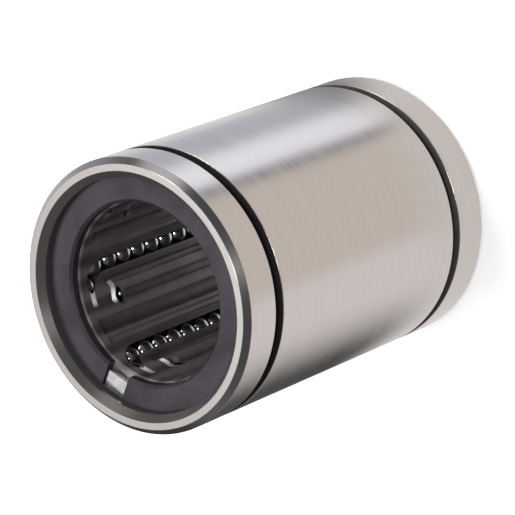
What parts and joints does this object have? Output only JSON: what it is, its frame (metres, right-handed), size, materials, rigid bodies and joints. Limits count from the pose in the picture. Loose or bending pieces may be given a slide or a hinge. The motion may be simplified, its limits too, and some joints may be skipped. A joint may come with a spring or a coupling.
{
  "type": "linear ball bearing",
  "caption": "Closed linear ball bearing: a ground steel sleeve with outside grooves, a dark moulded retainer and rows of steel balls that run round in circuits.",
  "frame": {"origin": "centre of the lower end face, where the bearing stands on a surface", "axes": "+Z along the shaft's axis, from the lower end face to the upper one; +X through the first row of loaded balls"},
  "size_m": [0.0396, 0.0396, 0.0571],
  "materials": {
    "sleeve_steel": "ground bearing steel, black in the grooves",
    "retainer_resin": "dark moulded resin, satin",
    "end_ring_resin": "dark grey moulded resin, satin",
    "ring_steel": "bright spring steel",
    "ball_steel": "polished bearing steel"
  },
  "bodies": {
    "housing": {"outer_sleeve": "sleeve_steel", "ball_retainer": "retainer_resin", "end_ring_top": "end_ring_resin", "end_ring_bottom": "end_ring_resin", "retaining_ring_top": "ring_steel", "retaining_ring_bottom": "ring_steel"},
    "load_balls_1_run": {"load_balls_1": "ball_steel"},
    "return_balls_1_run": {"return_balls_1": "ball_steel"},
    "turn_balls_top_1_run": {"turn_balls_top_1": "ball_steel"},
    "turn_balls_bottom_1_run": {"turn_balls_bottom_1": "ball_steel"},
    "load_balls_2_run": {"load_balls_2": "ball_steel"},
    "return_balls_2_run": {"return_balls_2": "ball_steel"},
    "turn_balls_top_2_run": {"turn_balls_top_2": "ball_steel"},
    "turn_balls_bottom_2_run": {"turn_balls_bottom_2": "ball_steel"},
    "load_balls_3_run": {"load_balls_3": "ball_steel"},
    "return_balls_3_run": {"return_balls_3": "ball_steel"},
    "turn_balls_top_3_run": {"turn_balls_top_3": "ball_steel"},
    "turn_balls_bottom_3_run": {"turn_balls_bottom_3": "ball_steel"},
    "load_balls_4_run": {"load_balls_4": "ball_steel"},
    "return_balls_4_run": {"return_balls_4": "ball_steel"},
    "turn_balls_top_4_run": {"turn_balls_top_4": "ball_steel"},
    "turn_balls_bottom_4_run": {"turn_balls_bottom_4": "ball_steel"},
    "load_balls_5_run": {"load_balls_5": "ball_steel"},
    "return_balls_5_run": {"return_balls_5": "ball_steel"},
    "turn_balls_top_5_run": {"turn_balls_top_5": "ball_steel"},
    "turn_balls_bottom_5_run": {"turn_balls_bottom_5": "ball_steel"},
    "load_balls_6_run": {"load_balls_6": "ball_steel"},
    "return_balls_6_run": {"return_balls_6": "ball_steel"},
    "turn_balls_top_6_run": {"turn_balls_top_6": "ball_steel"},
    "turn_balls_bottom_6_run": {"turn_balls_bottom_6": "ball_steel"}
  },
  "joints": [
    {"name": "load_leg_1", "type": "slide", "parent": "housing", "child": "load_balls_1_run", "axis": [0, 0, 1], "range_m": [-0.0016, 0.0016]},
    {"name": "return_leg_1", "type": "slide", "parent": "housing", "child": "return_balls_1_run", "axis": [0, 0, 1], "range_m": [-0.0016, 0.0016]},
    {"name": "turn_top_1", "type": "hinge", "parent": "housing", "child": "turn_balls_top_1_run", "pos_m": [0.01417, 0.00298, 0.04826], "axis": [0.9993, 0.0387, 0], "range_deg": [-30.72, 30.72]},
    {"name": "turn_bottom_1", "type": "hinge", "parent": "housing", "child": "turn_balls_bottom_1_run", "pos_m": [0.01417, 0.00298, 0.00889], "axis": [0.9993, 0.0387, 0], "range_deg": [-30.72, 30.72]},
    {"name": "load_leg_2", "type": "slide", "parent": "housing", "child": "load_balls_2_run", "axis": [0, 0, 1], "range_m": [-0.0016, 0.0016]},
    {"name": "return_leg_2", "type": "slide", "parent": "housing", "child": "return_balls_2_run", "axis": [0, 0, 1], "range_m": [-0.0016, 0.0016]},
    {"name": "turn_top_2", "type": "hinge", "parent": "housing", "child": "turn_balls_top_2_run", "pos_m": [0.0045, 0.01376, 0.04826], "axis": [0.4661, 0.8847, 0], "range_deg": [-30.72, 30.72]},
    {"name": "turn_bottom_2", "type": "hinge", "parent": "housing", "child": "turn_balls_bottom_2_run", "pos_m": [0.0045, 0.01376, 0.00889], "axis": [0.4661, 0.8847, 0], "range_deg": [-30.72, 30.72]},
    {"name": "load_leg_3", "type": "slide", "parent": "housing", "child": "load_balls_3_run", "axis": [0, 0, 1], "range_m": [-0.0016, 0.0016]},
    {"name": "return_leg_3", "type": "slide", "parent": "housing", "child": "return_balls_3_run", "axis": [0, 0, 1], "range_m": [-0.0016, 0.0016]},
    {"name": "turn_top_3", "type": "hinge", "parent": "housing", "child": "turn_balls_top_3_run", "pos_m": [-0.00967, 0.01078, 0.04826], "axis": [-0.5331, 0.846, 0], "range_deg": [-30.72, 30.72]},
    {"name": "turn_bottom_3", "type": "hinge", "parent": "housing", "child": "turn_balls_bottom_3_run", "pos_m": [-0.00967, 0.01078, 0.00889], "axis": [-0.5331, 0.846, 0], "range_deg": [-30.72, 30.72]},
    {"name": "load_leg_4", "type": "slide", "parent": "housing", "child": "load_balls_4_run", "axis": [0, 0, 1], "range_m": [-0.0016, 0.0016]},
    {"name": "return_leg_4", "type": "slide", "parent": "housing", "child": "return_balls_4_run", "axis": [0, 0, 1], "range_m": [-0.0016, 0.0016]},
    {"name": "turn_top_4", "type": "hinge", "parent": "housing", "child": "turn_balls_top_4_run", "pos_m": [-0.01417, -0.00298, 0.04826], "axis": [-0.9993, -0.0387, 0], "range_deg": [-30.72, 30.72]},
    {"name": "turn_bottom_4", "type": "hinge", "parent": "housing", "child": "turn_balls_bottom_4_run", "pos_m": [-0.01417, -0.00298, 0.00889], "axis": [-0.9993, -0.0387, 0], "range_deg": [-30.72, 30.72]},
    {"name": "load_leg_5", "type": "slide", "parent": "housing", "child": "load_balls_5_run", "axis": [0, 0, 1], "range_m": [-0.0016, 0.0016]},
    {"name": "return_leg_5", "type": "slide", "parent": "housing", "child": "return_balls_5_run", "axis": [0, 0, 1], "range_m": [-0.0016, 0.0016]},
    {"name": "turn_top_5", "type": "hinge", "parent": "housing", "child": "turn_balls_top_5_run", "pos_m": [-0.0045, -0.01376, 0.04826], "axis": [-0.4661, -0.8847, 0], "range_deg": [-30.72, 30.72]},
    {"name": "turn_bottom_5", "type": "hinge", "parent": "housing", "child": "turn_balls_bottom_5_run", "pos_m": [-0.0045, -0.01376, 0.00889], "axis": [-0.4661, -0.8847, 0], "range_deg": [-30.72, 30.72]},
    {"name": "load_leg_6", "type": "slide", "parent": "housing", "child": "load_balls_6_run", "axis": [0, 0, 1], "range_m": [-0.0016, 0.0016]},
    {"name": "return_leg_6", "type": "slide", "parent": "housing", "child": "return_balls_6_run", "axis": [0, 0, 1], "range_m": [-0.0016, 0.0016]},
    {"name": "turn_top_6", "type": "hinge", "parent": "housing", "child": "turn_balls_top_6_run", "pos_m": [0.00967, -0.01078, 0.04826], "axis": [0.5331, -0.846, 0], "range_deg": [-30.72, 30.72]},
    {"name": "turn_bottom_6", "type": "hinge", "parent": "housing", "child": "turn_balls_bottom_6_run", "pos_m": [0.00967, -0.01078, 0.00889], "axis": [0.5331, -0.846, 0], "range_deg": [-30.72, 30.72]}
  ],
  "couplings": [
    {"joint": "return_leg_1", "follows": "load_leg_1", "ratio": -1},
    {"joint": "turn_top_1", "follows": "load_leg_1", "rad_per_m": -334.95},
    {"joint": "turn_bottom_1", "follows": "load_leg_1", "rad_per_m": -334.95},
    {"joint": "return_leg_2", "follows": "load_leg_2", "ratio": -1},
    {"joint": "turn_top_2", "follows": "load_leg_2", "rad_per_m": -334.95},
    {"joint": "turn_bottom_2", "follows": "load_leg_2", "rad_per_m": -334.95},
    {"joint": "return_leg_3", "follows": "load_leg_3", "ratio": -1},
    {"joint": "turn_top_3", "follows": "load_leg_3", "rad_per_m": -334.95},
    {"joint": "turn_bottom_3", "follows": "load_leg_3", "rad_per_m": -334.95},
    {"joint": "return_leg_4", "follows": "load_leg_4", "ratio": -1},
    {"joint": "turn_top_4", "follows": "load_leg_4", "rad_per_m": -334.95},
    {"joint": "turn_bottom_4", "follows": "load_leg_4", "rad_per_m": -334.95},
    {"joint": "return_leg_5", "follows": "load_leg_5", "ratio": -1},
    {"joint": "turn_top_5", "follows": "load_leg_5", "rad_per_m": -334.95},
    {"joint": "turn_bottom_5", "follows": "load_leg_5", "rad_per_m": -334.95},
    {"joint": "return_leg_6", "follows": "load_leg_6", "ratio": -1},
    {"joint": "turn_top_6", "follows": "load_leg_6", "rad_per_m": -334.95},
    {"joint": "turn_bottom_6", "follows": "load_leg_6", "rad_per_m": -334.95}
  ]
}
